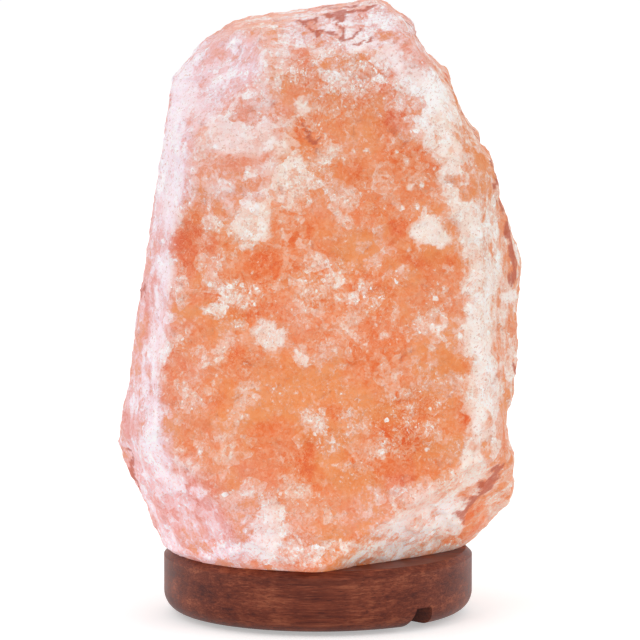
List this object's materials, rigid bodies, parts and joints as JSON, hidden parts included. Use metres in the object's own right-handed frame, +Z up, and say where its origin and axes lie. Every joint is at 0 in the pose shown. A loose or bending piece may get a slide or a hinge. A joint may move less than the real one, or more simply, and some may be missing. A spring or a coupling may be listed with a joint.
{
  "type": "salt crystal lamp",
  "caption": "Rough pink rock salt lump on a round turned wooden base, lit from inside by a small screw bulb in a clip-in holder that pulls out below.",
  "frame": {"origin": "middle of the base on the surface the lamp stands on, under the crystal's upright bore", "axes": "+Z up along the bore, front faces -Y, +X to the right seen from the front"},
  "size_m": [0.1603, 0.128, 0.2473],
  "materials": {
    "rock_salt": "rough natural crystal, translucent, matte with small glints",
    "turned_hardwood": "oiled and satin lacquered, fine grain",
    "pad_rubber": "matte",
    "zinc_screw": "zinc plated",
    "plug_plastic": "moulded",
    "spring_steel": "stamped, satin",
    "holder_plastic": "moulded thermoset",
    "carrier_board": "pressed insulating board",
    "contact_brass": "bright stamped",
    "solder_contact": "tinned",
    "black_glass": "fused glass insulator",
    "nickel_cap": "nickel plated, satin",
    "cement": "baked cement",
    "bulb_glass": "clear",
    "stem_glass": "clear lead glass",
    "lamp_wire": "drawn wire"
  },
  "bodies": {
    "lamp_body": {"salt_crystal": "rock_salt", "wooden_base": "turned_hardwood", "foot_pads": "pad_rubber", "base_screws": "zinc_screw", "screw_plugs": "plug_plastic"},
    "holder": {"clip_plate": "spring_steel", "ring_nut": "holder_plastic", "holder_body": "holder_plastic", "holder_cap": "holder_plastic", "contact_carrier": "carrier_board", "screw_shell": "contact_brass", "centre_contact": "contact_brass", "contact_rivets": "contact_brass", "terminal_plates": "contact_brass", "terminal_screws": "zinc_screw"},
    "bulb_lift": {"bulb_tip": "solder_contact"},
    "bulb": {"bulb_insulator": "black_glass", "bulb_cap": "nickel_cap", "cap_cement": "cement", "bulb_glass": "bulb_glass", "glass_stem": "stem_glass", "lead_wires": "lamp_wire", "filament": "lamp_wire", "filament_support": "lamp_wire"}
  },
  "joints": [
    {"name": "holder_slide", "type": "slide", "parent": "lamp_body", "child": "holder", "axis": [0, 0, -1], "range_m": [0, 0.084]},
    {"name": "bulb_rise", "type": "slide", "parent": "holder", "child": "bulb_lift", "axis": [0, 0, 1], "range_m": [0, 0.0077]},
    {"name": "bulb_unscrew", "type": "hinge", "parent": "bulb_lift", "child": "bulb", "pos_m": [0, 0, 0.03], "axis": [0, 0, 1], "range_deg": [0, 1080]}
  ],
  "couplings": [
    {"joint": "bulb_rise", "follows": "bulb_unscrew", "m_per_rad": 0.00040425}
  ]
}
